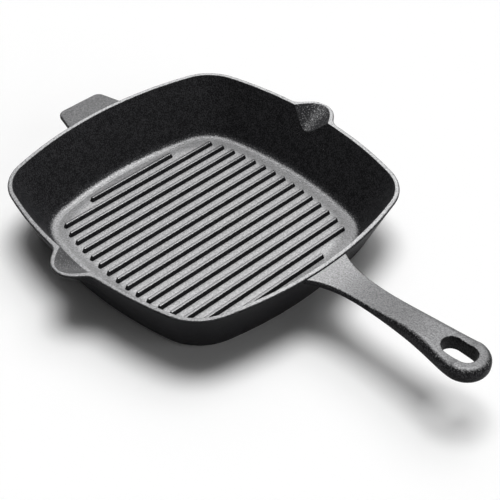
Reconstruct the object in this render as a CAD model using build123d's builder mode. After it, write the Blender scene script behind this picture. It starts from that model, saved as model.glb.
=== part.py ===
from build123d import *
import os
from math import sqrt

# A square grill pan sand-cast in iron: a flared pan with two pouring lips, a ribbed cooking
# floor, a long handle that ends in a ring with a hang slot, and a short tab to lift it by.
# Millimetres, +Z up. The origin is the middle of the underside, +X runs along the long
# handle and +Y points to the pouring lip on the right of someone who holds that handle.
# The casting is built as pieces that meet face to face where its metal runs on.

# Pan
pan_height = 50.4
floor_thickness = 4.5
rim_thickness = 4.4
rim_outer_round = 1.3
rim_inner_round = 0.6
floor_fillet = 6.5
base_edge_round = 8.0

# Outlines of the pan: each is a square with bulging sides and round corners. The floor's
# is the underside's, drawn in by the thickness of the foot of the wall.
rim_half_width = 130.6
rim_side_radius = 312.0
rim_corner_radius = 41.0
base_half_width = 108.2
base_side_radius = 310.0
base_corner_radius = 42.0
floor_inset = 4.2

# Pouring lips: the rim swells into a beak, and a scoop is hollowed out of it. The right one
# stands a little nearer to the tab than the left one, as it does in the photograph.
right_lip_setback = 5.6
lip_reach = 16.2
lip_seat_half_width = 28.0
lip_seat_drop = 19.0
lip_seat_depth = 24.0
lip_tip_thickness = 4.7
scoop_half_width = 19.4
scoop_root_inset = 2.2
scoop_depth = 15.0
scoop_foot_half_width = 4.5
scoop_foot_inset = 1.0

# The beak's outline from the seat to its tip, as shares of the half width and of the reach
beak_width_shares = (0.90, 0.78, 0.57, 0.32)
beak_reach_shares = (0.015, 0.07, 0.42, 0.85)

# Grill ribs: each runs as far as a field that follows the outline of the floor
rib_pitch = 10.96
rib_height = 3.7
rib_foot_width = 4.0
rib_crest_width = 2.7
rib_end_slope = 1.3
rib_crest_round = 0.9
rib_foot_corner = 1.5
rib_crest_corner = 1.1
rib_field_inset = 13.0
rib_field_corner_radius = 14.0

# Long handle: a smooth skin over sections that stand across it, from its root inside the
# outline of the pan, past the neck, to the middle of the ring
handle_root_depth = 11.6
handle_root_half_width = 28.0
handle_root_drop = 1.1
handle_root_thickness = 5.0
handle_root_edge = 1.8
handle_neck_reach = 41.4
handle_neck_half_width = 11.4
handle_neck_rise = 0.6
handle_neck_thickness = 5.4
handle_neck_edge = 2.3
handle_ring_reach = 125.3
handle_ring_radius = 17.9
handle_ring_rise = 4.4
handle_ring_thickness = 12.8
handle_ring_edge = 5.4

# Sections between those three, as shares of the way from one to the next: how far along,
# then how much of the change in half width, top, thickness and edge
handle_flare_shares = (0.28, 0.56, 0.24, 0.50, 0.20)
handle_waist_shares = (0.58, 0.87, 0.70, 0.90, 0.50)
handle_grip_shares = (0.39, 0.05, 0.84, 0.66, 0.60)
handle_swell_shares = (0.70, 0.45, 1.10, 1.00, 1.00)

# Hang slot: its round end shares the ring's centre, so the metal around it is evenly thick
slot_length = 27.0
slot_metal_thickness = 9.8
slot_edge_round = 1.2

# Helper tab
tab_reach = 23.0
tab_root_half_width = 27.5
tab_tip_half_width = 21.2
tab_root_depth = 9.6
tab_thickness = 4.4
tab_drop = 3.2
tab_corner_radius = 7.0
tab_edge_round = 1.4

# How far a cut runs past the metal that it cuts
overrun = 5.0

os.makedirs("parts", exist_ok=True)


def corner_centre(half_width, side_radius, corner_radius):
    """The centre of a corner arc that runs smoothly into the arcs of both sides."""
    side_centre = half_width - side_radius
    reach = side_radius - corner_radius
    return (side_centre + sqrt(2 * reach**2 - side_centre**2)) / 2


def bulging_square(height, half_width, side_radius, corner_radius):
    """A square with bulging sides and round corners, drawn at a height."""
    centre = corner_centre(half_width, side_radius, corner_radius)
    side_centre = half_width - side_radius
    reach = side_radius - corner_radius
    far = centre + corner_radius * (centre - side_centre) / reach
    near = centre + corner_radius * centre / reach
    middle = centre + corner_radius / sqrt(2)
    with BuildSketch(Plane.XY.offset(height)) as outline:
        with BuildLine():
            for turn in range(4):
                side_points = [Vector(far, -near), Vector(half_width, 0), Vector(far, near)]
                corner_points = [Vector(far, near), Vector(middle, middle), Vector(near, far)]
                ThreePointArc(*[point.rotate(Axis.Z, 90 * turn) for point in side_points])
                ThreePointArc(*[point.rotate(Axis.Z, 90 * turn) for point in corner_points])
        make_face()
    return outline.sketch


def base_outline(height, inset):
    return bulging_square(
        height, base_half_width - inset, base_side_radius - inset, base_corner_radius - inset
    )


def rim_outline(height, inset):
    return bulging_square(
        height, rim_half_width - inset, rim_side_radius - inset, rim_corner_radius - inset
    )


def wall_line(height, across):
    """How far out the wall stands at a height, at a distance across from its middle."""
    rise_share = height / pan_height
    half_width = base_half_width + (rim_half_width - base_half_width) * rise_share
    side_radius = base_side_radius + (rim_side_radius - base_side_radius) * rise_share
    return half_width - side_radius + sqrt(side_radius**2 - across**2)


# The whole outside of the pan, solid, without its lips
with BuildPart() as pan_block:
    loft([base_outline(0, 0), rim_outline(pan_height, 0)], ruled=True)
    fillet(pan_block.faces().sort_by(Axis.Z)[0].edges(), base_edge_round)

# The space inside the pan
with BuildPart() as pan_cavity:
    loft(
        [base_outline(floor_thickness, floor_inset), rim_outline(pan_height, rim_thickness)],
        ruled=True,
    )
    fillet(pan_cavity.faces().sort_by(Axis.Z)[0].edges(), floor_fillet)

# The flat plate that the ribs stand on, as far as the curved foot of the wall
with BuildPart() as cooking_floor:
    add(base_outline(0, floor_inset + floor_fillet))
    extrude(amount=floor_thickness)

cooking_floor.part.label = "cooking_floor"
export_step(cooking_floor.part, "parts/cooking_floor.step")

# The lips are drawn on the +Y side, each in its own place along the rim, and the left one is
# then mirrored
right_lip_place = -right_lip_setback
left_lip_place = 0
lip_seat_height = pan_height - lip_seat_drop
lip_back = rim_half_width - lip_seat_depth
lip_tip = rim_half_width + lip_reach


def lip_seat(place):
    """The room that a lip takes up in the wall."""
    with BuildPart() as seat:
        with BuildSketch(Plane.XY.offset(lip_seat_height)):
            with Locations((place, lip_back)):
                Rectangle(
                    2 * lip_seat_half_width,
                    lip_tip + overrun - lip_back,
                    align=(Align.CENTER, Align.MIN),
                )
        extrude(amount=lip_seat_drop + overrun)
    return seat.part


with BuildPart() as side_wall:
    add(pan_block.part)
    add(pan_cavity.part, mode=Mode.SUBTRACT)
    rim = side_wall.faces().filter_by(GeomType.PLANE).sort_by(Axis.Z)[-1]
    fillet(rim.outer_wire().edges(), rim_outer_round)
    rim = side_wall.faces().filter_by(GeomType.PLANE).sort_by(Axis.Z)[-1]
    fillet(rim.inner_wires()[0].edges(), rim_inner_round)
    add(cooking_floor.part, mode=Mode.SUBTRACT)
    add(lip_seat(right_lip_place), mode=Mode.SUBTRACT)
    mirror(lip_seat(left_lip_place), about=Plane.XZ, mode=Mode.SUBTRACT)

side_wall.part.label = "side_wall"
export_step(side_wall.part, "parts/side_wall.step")


def closed_behind(front_line, back):
    """A front line on the +Y side, closed by straight sides that run to a line behind it."""
    left = front_line @ 0
    right = front_line @ 1
    Polyline(right, (right.X, back), (left.X, back), left)


def beak_half(place, side):
    """Half of a beak's rim, out of the rim's own curve towards the tip: side is -1 or 1."""
    half_width = side * lip_seat_half_width
    seat_line = wall_line(pan_height, place + half_width)
    return [(place + half_width, seat_line)] + [
        (place + half_width * width, seat_line + (lip_tip - seat_line) * reach)
        for width, reach in zip(beak_width_shares, beak_reach_shares)
    ]


def beak_outline(place):
    """A beak's outline at the height of the rim."""
    with BuildSketch(Plane.XY.offset(pan_height)) as outline:
        with BuildLine():
            left_half = beak_half(place, -1)
            right_half = beak_half(place, 1)
            beak = Spline(*left_half, (place, lip_tip), *right_half[::-1])
            closed_behind(beak, lip_back)
        make_face()
    return outline.sketch


def seat_outline(place):
    """A lip's outline at the lower edge of its seat, where it follows the wall."""
    with BuildSketch(Plane.XY.offset(lip_seat_height)) as outline:
        with BuildLine():
            across = (place - lip_seat_half_width, place, place + lip_seat_half_width)
            wall = ThreePointArc(*[(x, wall_line(lip_seat_height, x)) for x in across])
            closed_behind(wall, lip_back)
        make_face()
    return outline.sketch


def inner_wall_line(height):
    """How far out the wall's inner face stands at a height, in the middle of a side."""
    foot = base_half_width - floor_inset
    mouth = rim_half_width - rim_thickness
    return foot + (mouth - foot) * (height - floor_thickness) / (pan_height - floor_thickness)


def scoop_outline(place, height, half_width, tip):
    """A scoop's outline at a height: a rounded nose that starts just inside the pan."""
    root = inner_wall_line(height) - scoop_root_inset
    with BuildSketch(Plane.XY.offset(height)) as outline:
        with BuildLine():
            nose = Bezier(
                (place - half_width, root), (place, 2 * tip - root), (place + half_width, root)
            )
            closed_behind(nose, lip_back)
        make_face()
    return outline.sketch


def scoop(place):
    """The hollow of a lip, which widens from its foot in the wall to its mouth in the rim."""
    foot_height = pan_height - scoop_depth
    foot_tip = inner_wall_line(foot_height) - scoop_foot_inset
    mouth_tip = lip_tip - lip_tip_thickness
    with BuildPart() as hollow:
        foot = scoop_outline(place, foot_height, scoop_foot_half_width, foot_tip)
        mouth = scoop_outline(place, pan_height, scoop_half_width, mouth_tip)
        loft([foot, mouth], ruled=True)
    return hollow.part


def pour_lip(place):
    """A pouring lip: a swelling of the wall with a scoop in it and rounded edges."""
    with BuildPart() as lip:
        loft([seat_outline(place), beak_outline(place)], ruled=True)
        add(pan_cavity.part, mode=Mode.SUBTRACT)
        rim = lip.faces().filter_by(GeomType.PLANE).sort_by(Axis.Z)[-1]
        fillet(rim.edges().sort_by(Axis.Y)[-1], rim_outer_round)
        add(scoop(place), mode=Mode.SUBTRACT)
        fillet(lip.edges(Select.LAST), rim_inner_round)
    return lip.part


with BuildPart() as right_pour_lip:
    add(pour_lip(right_lip_place))

right_pour_lip.part.label = "right_pour_lip"
export_step(right_pour_lip.part, "parts/right_pour_lip.step")

with BuildPart() as left_pour_lip:
    mirror(pour_lip(left_lip_place), about=Plane.XZ)

left_pour_lip.part.label = "left_pour_lip"
export_step(left_pour_lip.part, "parts/left_pour_lip.step")

rib_field_half_width = base_half_width - floor_inset - rib_field_inset
rib_field_side_radius = base_side_radius - floor_inset - rib_field_inset
rib_field = bulging_square(
    floor_thickness, rib_field_half_width, rib_field_side_radius, rib_field_corner_radius
)
ribs_each_side = int((rib_field_half_width - rib_foot_width / 2) / rib_pitch)


def rib_length(place):
    """How long the field is where a rib crosses it."""
    chord = Edge.make_line(
        (place, -rib_field_half_width, floor_thickness),
        (place, rib_field_half_width, floor_thickness),
    )
    return (chord & rib_field.face()).edges()[0].length


with BuildPart() as grill_ribs:
    for number in range(-ribs_each_side, ribs_each_side + 1):
        place = number * rib_pitch
        length = rib_length(place)
        with BuildSketch(Plane.XY.offset(floor_thickness)) as foot:
            with Locations((place, 0)):
                RectangleRounded(rib_foot_width, length, rib_foot_corner)
        with BuildSketch(Plane.XY.offset(floor_thickness + rib_height)) as crest:
            with Locations((place, 0)):
                RectangleRounded(rib_crest_width, length - 2 * rib_end_slope, rib_crest_corner)
        loft([foot.sketch, crest.sketch], ruled=True)
    fillet(grill_ribs.faces().group_by(Axis.Z)[-1].edges(), rib_crest_round)

grill_ribs.part.label = "grill_ribs"
export_step(grill_ribs.part, "parts/grill_ribs.step")

# Each section of the handle: its place, half width, top, thickness and edge
handle_root = (
    rim_half_width - handle_root_depth,
    handle_root_half_width,
    pan_height - handle_root_drop,
    handle_root_thickness,
    handle_root_edge,
)
handle_neck = (
    rim_half_width + handle_neck_reach,
    handle_neck_half_width,
    pan_height + handle_neck_rise,
    handle_neck_thickness,
    handle_neck_edge,
)
handle_ring_place = rim_half_width + handle_ring_reach
handle_ring_top = pan_height + handle_ring_rise
handle_ring = (
    handle_ring_place,
    handle_ring_radius,
    handle_ring_top,
    handle_ring_thickness,
    handle_ring_edge,
)


def between(start, end, shares):
    """A section between two others, each of its sizes its own share of the way."""
    return [a + (b - a) * share for a, b, share in zip(start, end, shares)]


def handle_section(place, half_width, top, thickness, edge):
    """The handle's outline where it is cut across: flat above and below, with round sides."""
    with BuildSketch(Plane.YZ.offset(place)) as section:
        with Locations((0, top - thickness / 2)):
            RectangleRounded(2 * half_width, thickness, edge)
    return section.sketch


slot_width = 2 * (handle_ring_radius - slot_metal_thickness)
slot_centre = handle_ring_place + slot_width / 2 - slot_length / 2
with BuildPart() as long_handle:
    sections = [
        handle_root,
        between(handle_root, handle_neck, handle_flare_shares),
        between(handle_root, handle_neck, handle_waist_shares),
        handle_neck,
        between(handle_neck, handle_ring, handle_grip_shares),
        between(handle_neck, handle_ring, handle_swell_shares),
        handle_ring,
    ]
    loft([handle_section(*section) for section in sections])
    with BuildSketch(Plane.YZ.offset(handle_ring_place)) as half_ring:
        with Locations((0, handle_ring_top - handle_ring_thickness / 2)):
            RectangleRounded(2 * handle_ring_radius, handle_ring_thickness, handle_ring_edge)
            Rectangle(
                handle_ring_radius,
                handle_ring_thickness,
                align=(Align.MIN, Align.CENTER),
                mode=Mode.INTERSECT,
            )
    revolve(axis=Axis((handle_ring_place, 0, 0), (0, 0, -1)), revolution_arc=180)
    with BuildSketch(Plane.XY.offset(handle_ring_top + overrun)):
        with Locations((slot_centre, 0)):
            SlotOverall(slot_length, slot_width)
    extrude(amount=-(handle_ring_thickness + 2 * overrun), mode=Mode.SUBTRACT)
    slot_walls = long_handle.faces(Select.LAST).filter_by(
        lambda face: round(face.normal_at().Z) == 0
    )
    fillet(slot_walls.edges().filter_by(Axis.Z, reverse=True), slot_edge_round)
    add(pan_block.part, mode=Mode.SUBTRACT)

long_handle.part.label = "long_handle"
export_step(long_handle.part, "parts/long_handle.step")

tab_root = tab_root_depth - rim_half_width
tab_tip = -rim_half_width - tab_reach
with BuildPart() as helper_tab:
    with BuildSketch(Plane.XY.offset(pan_height - tab_drop)) as tab_outline:
        with BuildLine():
            Polyline(
                (tab_root, -tab_root_half_width),
                (-rim_half_width, -tab_root_half_width),
                (tab_tip, -tab_tip_half_width),
                (tab_tip, tab_tip_half_width),
                (-rim_half_width, tab_root_half_width),
                (tab_root, tab_root_half_width),
                close=True,
            )
        make_face()
        fillet(tab_outline.vertices().group_by(Axis.X)[0], tab_corner_radius)
    extrude(amount=-tab_thickness)
    fillet(helper_tab.faces().filter_by(Axis.Z).edges(), tab_edge_round)
    add(pan_block.part, mode=Mode.SUBTRACT)

helper_tab.part.label = "helper_tab"
export_step(helper_tab.part, "parts/helper_tab.step")
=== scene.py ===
# %% [markdown]
# # A square grill pan in cast iron
# The pan was poured in one piece in a sand mould, so it has no screws, rivets or glue. Its
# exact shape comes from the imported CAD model, which is loaded first and stays as it is. What
# is left for Blender is the look: the skin that the sand leaves on the iron, the oil that was
# baked onto it, the light, and the place that the photograph was taken from.

# %% Load the frame
from math import acos, cos, degrees, pi, radians, sin
import bpy
import numpy as np
from mathutils import Matrix, Vector

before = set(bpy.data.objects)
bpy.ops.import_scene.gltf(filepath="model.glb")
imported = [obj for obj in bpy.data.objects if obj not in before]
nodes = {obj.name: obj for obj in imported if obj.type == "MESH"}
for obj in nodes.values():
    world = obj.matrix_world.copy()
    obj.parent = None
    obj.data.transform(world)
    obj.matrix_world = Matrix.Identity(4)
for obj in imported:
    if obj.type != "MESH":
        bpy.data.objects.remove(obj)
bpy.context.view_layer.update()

MM = 0.001
print("nodes:", sorted(nodes))

# %% [markdown]
# ## The camera
# A photograph fixes its own camera. The straight ribs, the rim and the slot in the handle were
# laid over the picture until one camera agreed with all of them: it stands about a metre
# away, out beyond the corner between the handle and the near pouring lip, and looks down at
# 42 degrees. It's easier to read as a point that it looks at, two angles and a distance than
# as a place and a rotation, so it's written that way and turned into a matrix here. Blender
# takes the lens and the sensor in millimetres, and every place in metres.

# %% Camera
LOOK_AT = Vector((39.65, 11.64, 0.0)) * MM
DISTANCE = 1031.7 * MM
AZIMUTH = radians(-44.99)
ELEVATION = radians(41.76)
ROLL = radians(0.86)
FOCAL_LENGTH = 94.82
SENSOR_WIDTH = 36.0


def direction(azimuth, elevation):
    """The unit vector at an angle round from +X and an angle up from the floor."""
    flat = cos(elevation)
    return Vector((cos(azimuth) * flat, sin(azimuth) * flat, sin(elevation)))


def aim(towards, roll=0.0):
    """A rotation whose -Z points along towards, with +Y as near to up as it can be."""
    back = -towards.normalized()
    right = Vector((0, 0, 1)).cross(back).normalized()
    up = back.cross(right)
    turned_right = cos(roll) * right + sin(roll) * up
    turned_up = cos(roll) * up - sin(roll) * right
    return Matrix((turned_right, turned_up, back)).transposed()


to_camera = direction(AZIMUTH, ELEVATION)
camera = bpy.data.objects.new("camera", bpy.data.cameras.new("camera"))
camera.data.sensor_width = SENSOR_WIDTH
camera.data.lens = FOCAL_LENGTH
camera.matrix_world = Matrix.LocRotScale(
    LOOK_AT + to_camera * DISTANCE, aim(-to_camera, ROLL).to_quaternion(), None
)
bpy.context.collection.objects.link(camera)
bpy.context.scene.camera = camera
print("camera at", [round(x / MM, 1) for x in camera.location])

# %% [markdown]
# ## Helpers for materials
# Colours are written as the hex values that a picture editor shows. Blender works with
# linear light, so one function turns the first into the second. Another function adds a
# shader node, sets its options and inputs, and links what comes from other nodes. It finds an
# input by its name or by its number, because some nodes give several inputs one name.

# %% Colour and node helpers
def srgb(code):
    """A hex colour such as #808080 as linear red, green, blue and a full alpha, by the two
    pieces of the sRGB curve: a straight line for the darkest values, then a power."""
    values = np.array([int(code[i:i + 2], 16) for i in (1, 3, 5)]) / 255
    linear = np.where(values <= 0.04045, values / 12.92, ((values + 0.055) / 1.055) ** 2.4)
    return (*linear.tolist(), 1.0)


def add_node(tree, kind, options=None, **inputs):
    """Adds a node. An input is written as its name with _ for a space, or as its number
    after _. It gets a value, or another node's output socket, which is linked to it."""
    made = tree.nodes.new(kind)
    for name, value in (options or {}).items():
        setattr(made, name, value)
    for name, value in inputs.items():
        number = name[1:]
        socket = made.inputs[int(number) if number.isdigit() else name.replace("_", " ")]
        if isinstance(value, bpy.types.NodeSocket):
            tree.links.new(value, socket)
        else:
            socket.default_value = value
    return made


def new_material(name):
    """An empty node material: the material, its tree and its output node."""
    material = bpy.data.materials.new(name)
    material.use_nodes = True
    material.node_tree.nodes.clear()
    output = material.node_tree.nodes.new("ShaderNodeOutputMaterial")
    return material, material.node_tree, output


print("#808080 is", round(srgb("#808080")[0], 3), "in linear light")

# %% [markdown]
# ## The studio
# The pan stands on plain white paper. A studio bends such paper up behind the object, but
# that looks right from one side only. A large flat disc serves from every side, and its edge
# is far outside the picture. The paper's white comes from its colour and not from strong
# light, which would bleach the iron as well. Matt paper scatters light evenly, so a diffuse
# shader is all that it needs.

# %% Floor
FLOOR_RADIUS = 9.0
FLOOR_COLOUR = "#FFFFFF"


def disc(name, radius, spokes=96):
    """A flat disc on the floor: a ring of points round a middle one, at equal angles."""
    angle = np.linspace(0, 2 * pi, spokes, endpoint=False)
    ring = np.column_stack([radius * np.cos(angle), radius * np.sin(angle), 0 * angle])
    points = np.vstack([np.zeros(3), ring])
    here = np.arange(spokes)
    faces = np.column_stack([0 * here, here + 1, (here + 1) % spokes + 1])
    mesh = bpy.data.meshes.new(name)
    mesh.from_pydata(points.tolist(), [], faces.tolist())
    made = bpy.data.objects.new(name, mesh)
    bpy.context.collection.objects.link(made)
    return made


floor = disc("studio_floor", FLOOR_RADIUS)
paper, tree, output = new_material("matt_white_paper")
sheet = add_node(tree, "ShaderNodeBsdfDiffuse", Color=srgb(FLOOR_COLOUR))
tree.links.new(sheet.outputs[0], output.inputs["Surface"])
floor.data.materials.append(paper)
print("paper disc with a radius of", FLOOR_RADIUS, "m")

# %% [markdown]
# The light is a big softbox overhead with a brighter middle. It stands a little behind the
# pan, so its blurred shadow leans to the front. A weaker lamp stands lower, behind the pan
# and to the right: the edges of the ribs and the foot of the far-left wall mirror it into the
# camera. A faint one straight across from the camera glances off the level faces, and a low
# one beyond the handle's end lights the walls that face it. Area lamps could do this too. A
# sun lamp with a wide angle acts as a softbox that is far away, and is easier to fit to a
# photograph, because only its direction, its width and its level count.

# %% Lights
def soft_lamp(name, azimuth, elevation, width, level):
    """A far, round softbox: width is the angle that it covers, level what it gives a
    face turned straight at it, where 1 renders white paper white."""
    lamp = bpy.data.lights.new(name, "SUN")
    lamp.angle = radians(width)
    lamp.energy = level * pi
    towards = direction(radians(azimuth), radians(elevation))
    made = bpy.data.objects.new(name, lamp)
    made.rotation_mode = "QUATERNION"
    made.rotation_quaternion = aim(-towards).to_quaternion()
    bpy.context.collection.objects.link(made)
    return level * towards.z


on_paper = [
    soft_lamp("softbox_middle", azimuth=128, elevation=79, width=32, level=0.62),
    soft_lamp("softbox_edge", azimuth=128, elevation=76, width=56, level=0.14),
    soft_lamp("lamp_far_right", azimuth=98, elevation=57, width=36, level=0.16),
    soft_lamp("lamp_behind", azimuth=135, elevation=42, width=34, level=0.05),
    soft_lamp("lamp_right", azimuth=10, elevation=19, width=50, level=0.18),
]
print("the lamps give the paper", [round(level, 2) for level in on_paper])

# %% [markdown]
# The room adds a little even light, which keeps the darkest corners from going quite black.
# The camera and whatever mirrors the room see it white all the same. So the paper has no
# horizon in a low view, and the iron's shine comes from all round, as in a white studio. The
# view transform stays plain, so that a colour renders about as it is written.

# %% Room and view
ROOM_LEVEL = 0.03
WHITE_LEVEL = 1.0
MAXIMUM = {"operation": "MAXIMUM"}
world = bpy.data.worlds.new("studio_room")
world.use_nodes = True
tree = world.node_tree
tree.nodes.clear()
rays = add_node(tree, "ShaderNodeLightPath")
seen = rays.outputs["Is Camera Ray"]
for kind in ("Is Glossy Ray", "Is Transmission Ray"):
    seen = add_node(tree, "ShaderNodeMath", MAXIMUM, _0=seen, _1=rays.outputs[kind]).outputs[0]
strength = add_node(
    tree, "ShaderNodeMapRange", Value=seen, To_Min=ROOM_LEVEL, To_Max=WHITE_LEVEL
)
air = add_node(
    tree, "ShaderNodeBackground", Color=srgb("#FFFFFF"), Strength=strength.outputs["Result"]
)
add_node(tree, "ShaderNodeOutputWorld", Surface=air.outputs[0])
bpy.context.scene.world = world
bpy.context.scene.view_settings.view_transform = "Standard"
print("light on the paper:", round(sum(on_paper) + ROOM_LEVEL, 2))

# %% [markdown]
# ## Seasoned cast iron
# The iron comes out of the sand mould with a fine pebbled grain. Oil is baked onto it as a
# black film. Level faces, such as the cooking floor, the crests of the ribs and the top of the
# handle, are painted pale grey: that is painted highlight of the light from above, and steep
# faces keep the film's black. Painting that by hand would need a picture for each piece. The
# slope of the face can decide it instead: the vertical part of the normal is 1 on a level face
# and 0 on an upright one. First it's measured how much of each piece is level.

# %% Level faces
NEARLY_LEVEL = 0.9
for name in sorted(nodes):
    faces = nodes[name].data.polygons
    areas = np.empty(len(faces))
    normals = np.empty(3 * len(faces))
    faces.foreach_get("area", areas)
    faces.foreach_get("normal", normals)
    level_area = areas[normals[2::3] > NEARLY_LEVEL].sum()
    print(name, "is nearly level on", round(100 * level_area / areas.sum()), "% of its skin")

# %% [markdown]
# The share of pale iron, which is painted highlight, follows from that slope and from the grain:
#
# share = smooth step of (vertical part of the normal + ragged * (grain - 1/2))
#
# The grain makes the line between the black film and the painted highlight ragged, as it looks
# on the real pan. It's drawn 1 to 1.4 mm wide, about twice as coarse as the sand leaves it,
# because a pixel covers 0.8 by 1.2 mm of the floor.

# %% Bare share
SOFT = {"interpolation_type": "SMOOTHSTEP"}
ADD = {"operation": "ADD"}
MULTIPLY_ADD = {"operation": "MULTIPLY_ADD"}
MEAN_GRAIN = 1 / 2


def highlight_share(tree, level, grain, highlight_from, bare_full, ragged):
    """The share of pale iron, which is painted highlight of the light from above: none where the
    face is less level than the lower bound, all of it from the upper bound up, and the grain
    shifts both by up to half of ragged."""
    shift = add_node(
        tree, "ShaderNodeMath", MULTIPLY_ADD, _0=grain, _1=ragged, _2=-ragged * MEAN_GRAIN
    )
    # painted highlight: the more level the face, the paler it is painted
    highlight_tilt = add_node(tree, "ShaderNodeMath", ADD, _0=level, _1=shift.outputs[0])
    share = add_node(
        tree, "ShaderNodeMapRange", SOFT, Value=highlight_tilt.outputs[0], From_Min=highlight_from,
        From_Max=bare_full,
    )
    return share.outputs["Result"]


print("an average grain of", MEAN_GRAIN, "leaves the line where the slope puts it")

# %% [markdown]
# The film isn't one black. Where the oil ran thin it's dark grey, in clouds a few millimetres
# wide and in single grains. On faces that look down, such as the outer wall under its
# overhang, the grey places fade out, which is painted shade. No single cloud has to lie where
# it does on the real pan, so noise can place them, and no picture is painted for them.

# %% Film on steep faces
COLOUR = {"data_type": "RGBA"}
MULTIPLY = {"operation": "MULTIPLY"}
FILM_DARK = "#1E1E20"
FILM_THIN = "#3F3F41"
CLOUD_SIZE = 5.0 * MM
CLOUD_DETAIL = 2.0
GRAIN_PART = 0.75
THIN_FROM = 0.40
THIN_FULL = 0.62
OVERHANG = 0.40


def steep_film(tree, place, level, grain):
    """Dark film that turns thin where GRAIN_PART of grain and the rest of cloud add up to
    more than THIN_FROM, and stays dark, as painted shade, on a face that hangs over by
    OVERHANG."""
    clouds = add_node(
        tree, "ShaderNodeTexNoise", Vector=place, Scale=1 / CLOUD_SIZE, Detail=CLOUD_DETAIL
    )
    patches = add_node(
        tree, "ShaderNodeMix", _0=GRAIN_PART, _2=clouds.outputs["Fac"], _3=grain
    )
    thin = add_node(
        tree, "ShaderNodeMapRange", SOFT, Value=patches.outputs[0], From_Min=THIN_FROM,
        From_Max=THIN_FULL,
    )
    # painted shade: faces that look down keep the darkest film
    facing_up = add_node(
        tree, "ShaderNodeMapRange", SOFT, Value=level, From_Min=-OVERHANG, From_Max=OVERHANG
    )
    share = add_node(
        tree, "ShaderNodeMath", MULTIPLY, _0=thin.outputs["Result"],
        _1=facing_up.outputs["Result"],
    )
    film = add_node(
        tree, "ShaderNodeMix", COLOUR, _0=share.outputs[0], _6=srgb(FILM_DARK),
        _7=srgb(FILM_THIN),
    )
    return film.outputs[2]


print("oil film from", FILM_DARK, "to", FILM_THIN, "in clouds of", round(CLOUD_SIZE / MM), "mm")

# %% [markdown]
# The scoops of the pouring lips and the shoulders of the handle lie flatter than the wall.
# The film there gets a colour of its own, which each iron sets for itself; where it's paler
# than the steep film, as on the scoops, that is painted light. The tips of the highest grains
# there are painted as pale specks, which are painted glints.

# %% Film on lying faces
SPECK = "#8A8A8B"
LYING_FROM = 0.50
LYING_FULL = 0.85
LYING_MOST = 0.85
TIPS_FROM = 0.54
TIPS_FULL = 0.70


def baked_film(tree, place, level, grain, lying_film):
    """The steep film's colour, which turns by LYING_MOST to lying_film as the face gets
    more level, with pale specks as painted glints on the grains that stand higher than
    TIPS_FROM there."""
    steep = steep_film(tree, place, level, grain)
    # nearly level faces turn to the lying film, which is painted light where it is paler
    lying = add_node(
        tree, "ShaderNodeMapRange", SOFT, Value=level, From_Min=LYING_FROM,
        From_Max=LYING_FULL, To_Max=LYING_MOST,
    )
    flat = add_node(
        tree, "ShaderNodeMix", COLOUR, _0=lying.outputs["Result"], _6=steep,
        _7=srgb(lying_film),
    )
    high = add_node(
        tree, "ShaderNodeMapRange", SOFT, Value=grain, From_Min=TIPS_FROM, From_Max=TIPS_FULL
    )
    # painted glints: pale specks on the highest grains of nearly level faces
    glint_tips = add_node(
        tree, "ShaderNodeMath", MULTIPLY, _0=high.outputs["Result"], _1=lying.outputs["Result"]
    )
    specked = add_node(
        tree, "ShaderNodeMix", COLOUR, _0=glint_tips.outputs[0], _6=flat.outputs[2],
        _7=srgb(SPECK),
    )
    return specked.outputs[2]


print("specks of", SPECK, "on the tips of the grains")

# %% [markdown]
# The pale iron differs a little from place to place. Each of the next three functions gives 0
# in one place and 1 in another, and so mixes two colours of iron. The first is for the cooking
# floor, which is palest among the ribs and duller around them. The ribs end on a square with
# round corners, and such a square has the equation x^4 + y^4 = size^4.

# %% Around the ribs
DOT = {"operation": "DOT_PRODUCT"}
POWER = {"operation": "POWER"}
FOURTH_ROOT = 1 / 4
FIELD_EDGE = 86 * MM
FLOOR_EDGE = 93 * MM


def around_ribs(tree, place):
    """0 among the ribs and 1 around them. How far out a point is comes from the fourth
    root of x^4 + y^4: its place times itself, twice over, then X and Y added up."""
    square = add_node(tree, "ShaderNodeVectorMath", MULTIPLY, _0=place, _1=place).outputs[0]
    fourth = add_node(tree, "ShaderNodeVectorMath", MULTIPLY, _0=square, _1=square).outputs[0]
    total = add_node(tree, "ShaderNodeVectorMath", DOT, _0=fourth, _1=(1, 1, 0))
    size = add_node(
        tree, "ShaderNodeMath", POWER, _0=total.outputs["Value"], _1=FOURTH_ROOT
    )
    share = add_node(
        tree, "ShaderNodeMapRange", SOFT, Value=size.outputs[0], From_Min=FIELD_EDGE,
        From_Max=FLOOR_EDGE,
    )
    return share.outputs["Result"]


print("the duller floor starts", round(FIELD_EDGE / MM), "mm from its middle")

# %% [markdown]
# The handle is palest by the pan and darkens towards the hand.
# Only the distance along X matters, and the CAD frame has the handle lie along X.

# %% To the hand
HANDLE_ROOT = 125 * MM
HANDLE_GRIP = 170 * MM


def to_the_hand(tree, place):
    """0 at the handle's root and 1 where the hand holds it."""
    apart = add_node(tree, "ShaderNodeSeparateXYZ", Vector=place)
    share = add_node(
        tree, "ShaderNodeMapRange", SOFT, Value=apart.outputs["X"], From_Min=HANDLE_ROOT,
        From_Max=HANDLE_GRIP,
    )
    return share.outputs["Result"]


print("the handle darkens over", round((HANDLE_GRIP - HANDLE_ROOT) / MM), "mm")

# %% [markdown]
# On the wall, pale iron is painted as highlight on the rim and in the foot that curves into
# the floor. The rim is duller towards the left lip. The foot is duller by the right lip, which
# is painted shade, as that foot faces away from the lamps. So one share runs to the left, one
# runs to the right and counts only low down, and the larger of both is taken.

# %% Off the far rim
RIM_MIDDLE = -20 * MM
LEFT_LIP = -125 * MM
FOOT_MIDDLE = 10 * MM
RIGHT_FOOT = 75 * MM
UNDER_THE_RIM = 40 * MM
WALL_FOOT = 20 * MM


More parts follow.
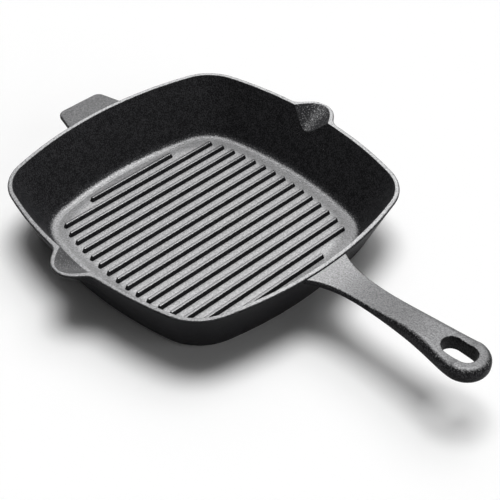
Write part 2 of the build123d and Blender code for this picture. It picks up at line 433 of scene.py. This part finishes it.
def off_the_far_rim(tree, place):
    """0 on the far rim, 1 by the left lip and at the foot of the wall by the right lip, where
    the duller foot is painted shade.
    """
    apart = add_node(tree, "ShaderNodeSeparateXYZ", Vector=place)
    left = add_node(
        tree, "ShaderNodeMapRange", SOFT, Value=apart.outputs["Y"], From_Min=RIM_MIDDLE,
        From_Max=LEFT_LIP,
    )
    right = add_node(
        tree, "ShaderNodeMapRange", SOFT, Value=apart.outputs["Y"], From_Min=FOOT_MIDDLE,
        From_Max=RIGHT_FOOT,
    )
    low = add_node(
        tree, "ShaderNodeMapRange", SOFT, Value=apart.outputs["Z"], From_Min=UNDER_THE_RIM,
        From_Max=WALL_FOOT,
    )
    # painted shade: the foot of the wall by the right lip is duller
    shaded_right_foot = add_node(
        tree, "ShaderNodeMath", MULTIPLY, _0=right.outputs["Result"], _1=low.outputs["Result"]
    )
    share = add_node(
        tree, "ShaderNodeMath", MAXIMUM, _0=left.outputs["Result"], _1=shaded_right_foot.outputs[0]
    )
    return share.outputs[0]


print("the wall's foot counts as low below", round(UNDER_THE_RIM / MM), "mm")

# %% [markdown]
# One function now joins the share of painted highlight, the film and the pale iron. The grain
# also darkens the pits between the grains and stands up as a bump. Iron is a metal, but this
# one is dulled by traces of the film, so most pieces mirror only half as much as clean metal
# would. The film itself is a burnt-on lacquer that shines weakly, so its specular level is
# low. Two shaders could be mixed, one for lacquer and one for iron. One shader whose metallic
# part follows the share of pale iron looks the same and bakes more simply.

# %% Iron
SCALE = {"operation": "SCALE"}
FILM_SPECULAR = 0.05
GRAIN_DETAIL = 3.0
PIT_BOTTOM = 0.3
PIT_TOP = 0.7


def seasoned_iron(
    name, iron, highlight_from, bare_full, ragged, grain_mm=1.2, grain_height_mm=0.3, pits=0.5,
    metal=0.5, roughness=0.4, lying_film="#38383A", other_iron=None, where=None,
):
    """Cast iron with baked oil. Iron is the pale colour that the slope paints as highlight, or
    other_iron where the place function says so. Pits is what is left of the colour between
    the grains, and metal how much of the pale iron mirrors as clean metal does."""
    material, tree, output = new_material(name)
    coordinates = add_node(tree, "ShaderNodeTexCoord")
    place = coordinates.outputs["Object"]
    normal = add_node(tree, "ShaderNodeSeparateXYZ", Vector=coordinates.outputs["Normal"])
    level = normal.outputs["Z"]
    noise = add_node(
        tree, "ShaderNodeTexNoise", Vector=place, Scale=1 / (grain_mm * MM),
        Detail=GRAIN_DETAIL,
    )
    grain = noise.outputs["Fac"]
    bare = srgb(iron)
    if where:
        shades = add_node(
            tree, "ShaderNodeMix", COLOUR, _0=where(tree, place), _6=bare,
            _7=srgb(other_iron),
        )
        bare = shades.outputs[2]
    # painted highlight on level faces, the film's black on steep ones, set by the slope
    lit_part = highlight_share(tree, level, grain, highlight_from, bare_full, ragged)
    skin = add_node(
        tree, "ShaderNodeMix", COLOUR, _0=lit_part,
        _6=baked_film(tree, place, level, grain, lying_film), _7=bare,
    )
    pit = add_node(
        tree, "ShaderNodeMapRange", Value=grain, From_Min=PIT_BOTTOM, From_Max=PIT_TOP,
        To_Min=pits,
    )
    colour = add_node(
        tree, "ShaderNodeVectorMath", SCALE, _0=skin.outputs[2], Scale=pit.outputs["Result"]
    )
    shine = add_node(tree, "ShaderNodeMath", MULTIPLY, _0=lit_part, _1=metal)
    bump = add_node(
        tree, "ShaderNodeBump", Height=grain, Strength=1.0, Distance=grain_height_mm * MM
    )
    shader = add_node(
        tree, "ShaderNodeBsdfPrincipled", Base_Color=colour.outputs[0], Roughness=roughness,
        Metallic=shine.outputs[0], Specular_IOR_Level=FILM_SPECULAR,
        Normal=bump.outputs["Normal"],
    )
    tree.links.new(shader.outputs[0], output.inputs["Surface"])
    # the tilt at which the painted highlight starts
    print(name, "starts to show iron at a tilt under", round(degrees(acos(highlight_from))), "degrees")
    return material


print("the film's specular level is", FILM_SPECULAR)

# %% [markdown]
# Nearly all of the cooking floor is painted pale, which is painted highlight, and its pits
# keep dark oil: the eye sees a pale grey with dark grains. The crests of the ribs are painted
# pale as highlight too. That iron is smoother and shines like clean metal, so the crests show
# as bright lines, and the sides keep the black film.

# %% Floor and ribs
floor_iron = seasoned_iron(
    "floor_cast_iron", "#C6C6C7", highlight_from=0.60, bare_full=0.93, ragged=0.3, metal=0.3,
    other_iron="#9B9B9C", where=around_ribs,
)
rib_iron = seasoned_iron(
    "rib_cast_iron", "#838384", highlight_from=0.84, bare_full=0.97, ragged=0.2,
    grain_height_mm=0.15, pits=0.8, metal=1.0, roughness=0.24,
)

# %% [markdown]
# The walls are cast iron under baked oil. They keep their black film up to the rounded edges
# of the rim, and the rim's top is painted pale as highlight, so the eye sees a dull black with
# a thin pale line round it. Both lips are of the same iron, so that no line shows where they
# join the wall. Only the scoop of the left one is painted paler, which is painted light, as it
# faces the lamp behind the pan on the right.

# %% Walls and lips
WALL_SKIN = dict(
    iron="#BCBCBD", highlight_from=0.78, bare_full=1.02, ragged=0.26, grain_mm=1.0,
    grain_height_mm=0.5, pits=0.6, other_iron="#9A9A9B", where=off_the_far_rim,
)
wall_iron = seasoned_iron("oiled_cast_iron", **WALL_SKIN)
# painted light: the left lip's scoop gets a paler film
left_lip_iron = seasoned_iron("lit_scoop_cast_iron", lying_film="#727273", **WALL_SKIN)

# %% [markdown]
# The top of the handle is painted pale as highlight, and its round shoulders keep a black
# film, with a soft, speckled change between them. The tab is seldom touched. It keeps the
# roughest skin, as it came from the sand, and its level top is painted a coarse, even grey,
# which is painted highlight too.

# %% Handle and tab
handle_iron = seasoned_iron(
    "handle_cast_iron", "#B3B3B4", highlight_from=0.72, bare_full=1.0, ragged=0.22, grain_mm=1.1,
    roughness=0.42, lying_film="#1A1A1B", other_iron="#838384", where=to_the_hand,
)
tab_iron = seasoned_iron(
    "sand_cast_iron", "#787879", highlight_from=0.60, bare_full=0.93, ragged=0.4, grain_mm=1.4,
    grain_height_mm=0.5, roughness=0.5,
)

# %% [markdown]
# Each piece of the model gets one iron. Both lips are the wall's metal, and the far one has
# the very same material as the wall.

# %% Give each piece its iron
IRON = {
    "cooking_floor": floor_iron,
    "grill_ribs": rib_iron,
    "side_wall": wall_iron,
    "left_pour_lip": left_lip_iron,
    "right_pour_lip": wall_iron,
    "long_handle": handle_iron,
    "helper_tab": tab_iron,
}
for name, node in nodes.items():
    node.data.materials.clear()
    node.data.materials.append(IRON[name])
    print(name, "is of", IRON[name].name)
